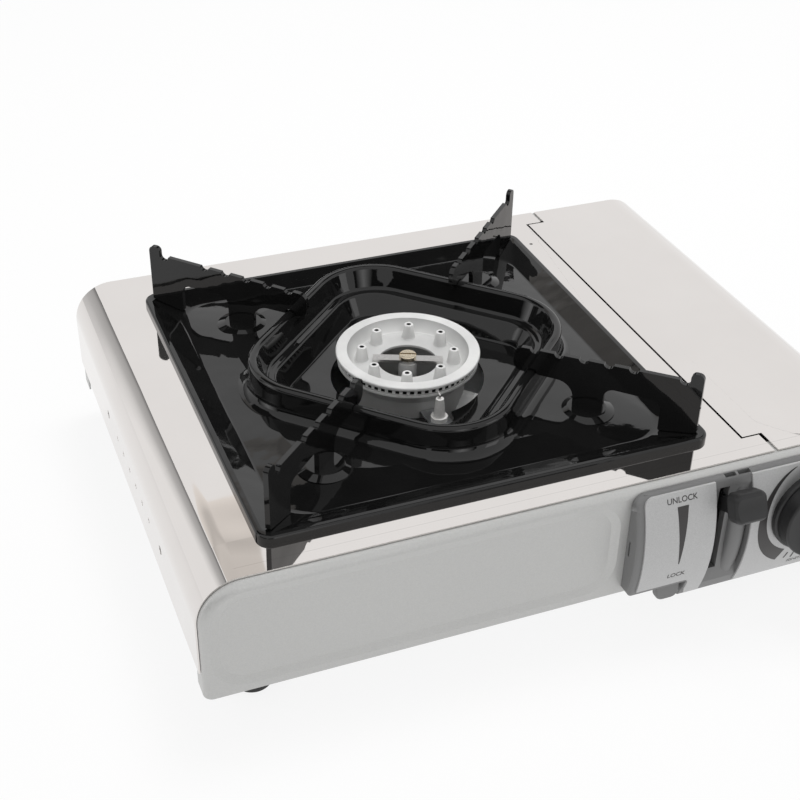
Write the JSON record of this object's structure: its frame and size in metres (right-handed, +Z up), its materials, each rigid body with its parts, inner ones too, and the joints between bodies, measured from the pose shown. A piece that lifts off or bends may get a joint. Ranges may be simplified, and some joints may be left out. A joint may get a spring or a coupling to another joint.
{
  "type": "camping stove",
  "caption": "Portable cartridge camping stove: low rectangular body, enamelled drip tray with pan supports around a round burner, hinged cartridge lid, lock lever and control knob.",
  "frame": {"origin": "on the table, under the middle of the stove's bounding box", "axes": "+X to the right of someone facing the controls, +Y to the back, +Z up"},
  "size_m": [0.34, 0.285, 0.115],
  "materials": {
    "polished_steel": "mirror polished stainless sheet",
    "panel_paint": "satin silver grey paint",
    "zinc_steel": "dull zinc",
    "steel": "bright steel",
    "black_enamel": "gloss black enamel",
    "cast_aluminium": "bare die casting",
    "brass": "turned",
    "ceramic": "glazed white",
    "housing_plastic": "satin mid grey",
    "fascia_print": "silver grey printed plate",
    "black_plastic": "black satin",
    "foot_rubber": "matte",
    "lead_sleeve": "silicone sleeve"
  },
  "bodies": {
    "case": {"top_plate": "polished_steel", "front_panel": "panel_paint", "back_panel": "panel_paint", "base_tray": "zinc_steel", "heat_shield": "zinc_steel", "lever_bracket": "zinc_steel", "burner_bracket": "zinc_steel", "electrode_bracket": "zinc_steel", "cartridge_saddle_front": "zinc_steel", "cartridge_saddle_rear": "zinc_steel", "bar_guide_front": "zinc_steel", "bar_guide_rear": "zinc_steel", "hinge_pins": "steel", "back_screws": "steel", "electrode_wire": "steel", "mixing_tube": "steel", "cartridge_collar": "steel", "burner_bridge": "steel", "burner_base": "cast_aluminium", "burner_head": "cast_aluminium", "valve_block": "cast_aluminium", "jet_nozzle": "brass", "burner_screw": "brass", "electrode_insulator": "ceramic", "control_housing": "housing_plastic", "lock_fascia": "fascia_print", "dial_fascia": "fascia_print", "piezo_igniter": "black_plastic", "foot_front_left": "foot_rubber", "foot_front_right": "foot_rubber", "foot_back_left": "foot_rubber", "foot_back_right": "foot_rubber", "ignition_lead": "lead_sleeve"},
    "lid": {"cartridge_lid": "polished_steel"},
    "pan": {"drip_tray": "black_enamel", "burner_well": "black_enamel", "pan_support_back_right": "black_enamel", "pan_support_back_left": "black_enamel", "pan_support_front_left": "black_enamel", "pan_support_front_right": "black_enamel"},
    "knob": {"control_knob": "black_plastic", "valve_spindle": "steel", "igniter_cam": "black_plastic"},
    "lever": {"lock_lever": "steel", "lever_grip": "black_plastic"},
    "bar": {"pull_bar": "steel"}
  },
  "joints": [
    {"name": "lid_hinge", "type": "hinge", "parent": "case", "child": "lid", "pos_m": [0.096, 0, 0.0775], "axis": [0, -1, 0], "range_deg": [0, 95]},
    {"name": "lever_pivot", "type": "hinge", "parent": "case", "child": "lever", "pos_m": [0.0685, -0.0865, 0.051], "axis": [1, 0, 0], "range_deg": [0, 46]},
    {"name": "bar_slide", "type": "slide", "parent": "case", "child": "bar", "axis": [0, -1, 0], "range_m": [0, 0.0094]},
    {"name": "knob_turn", "type": "hinge", "parent": "case", "child": "knob", "pos_m": [0.1145, -0.127, 0.055], "axis": [0, -1, 0], "range_deg": [0, 150]},
    {"name": "pan_lift", "type": "slide", "parent": "case", "child": "pan", "axis": [0, 0, 1], "range_m": [0, 0.12]}
  ],
  "couplings": [
    {"joint": "bar_slide", "follows": "lever_pivot", "m_per_rad": 0.01168}
  ]
}
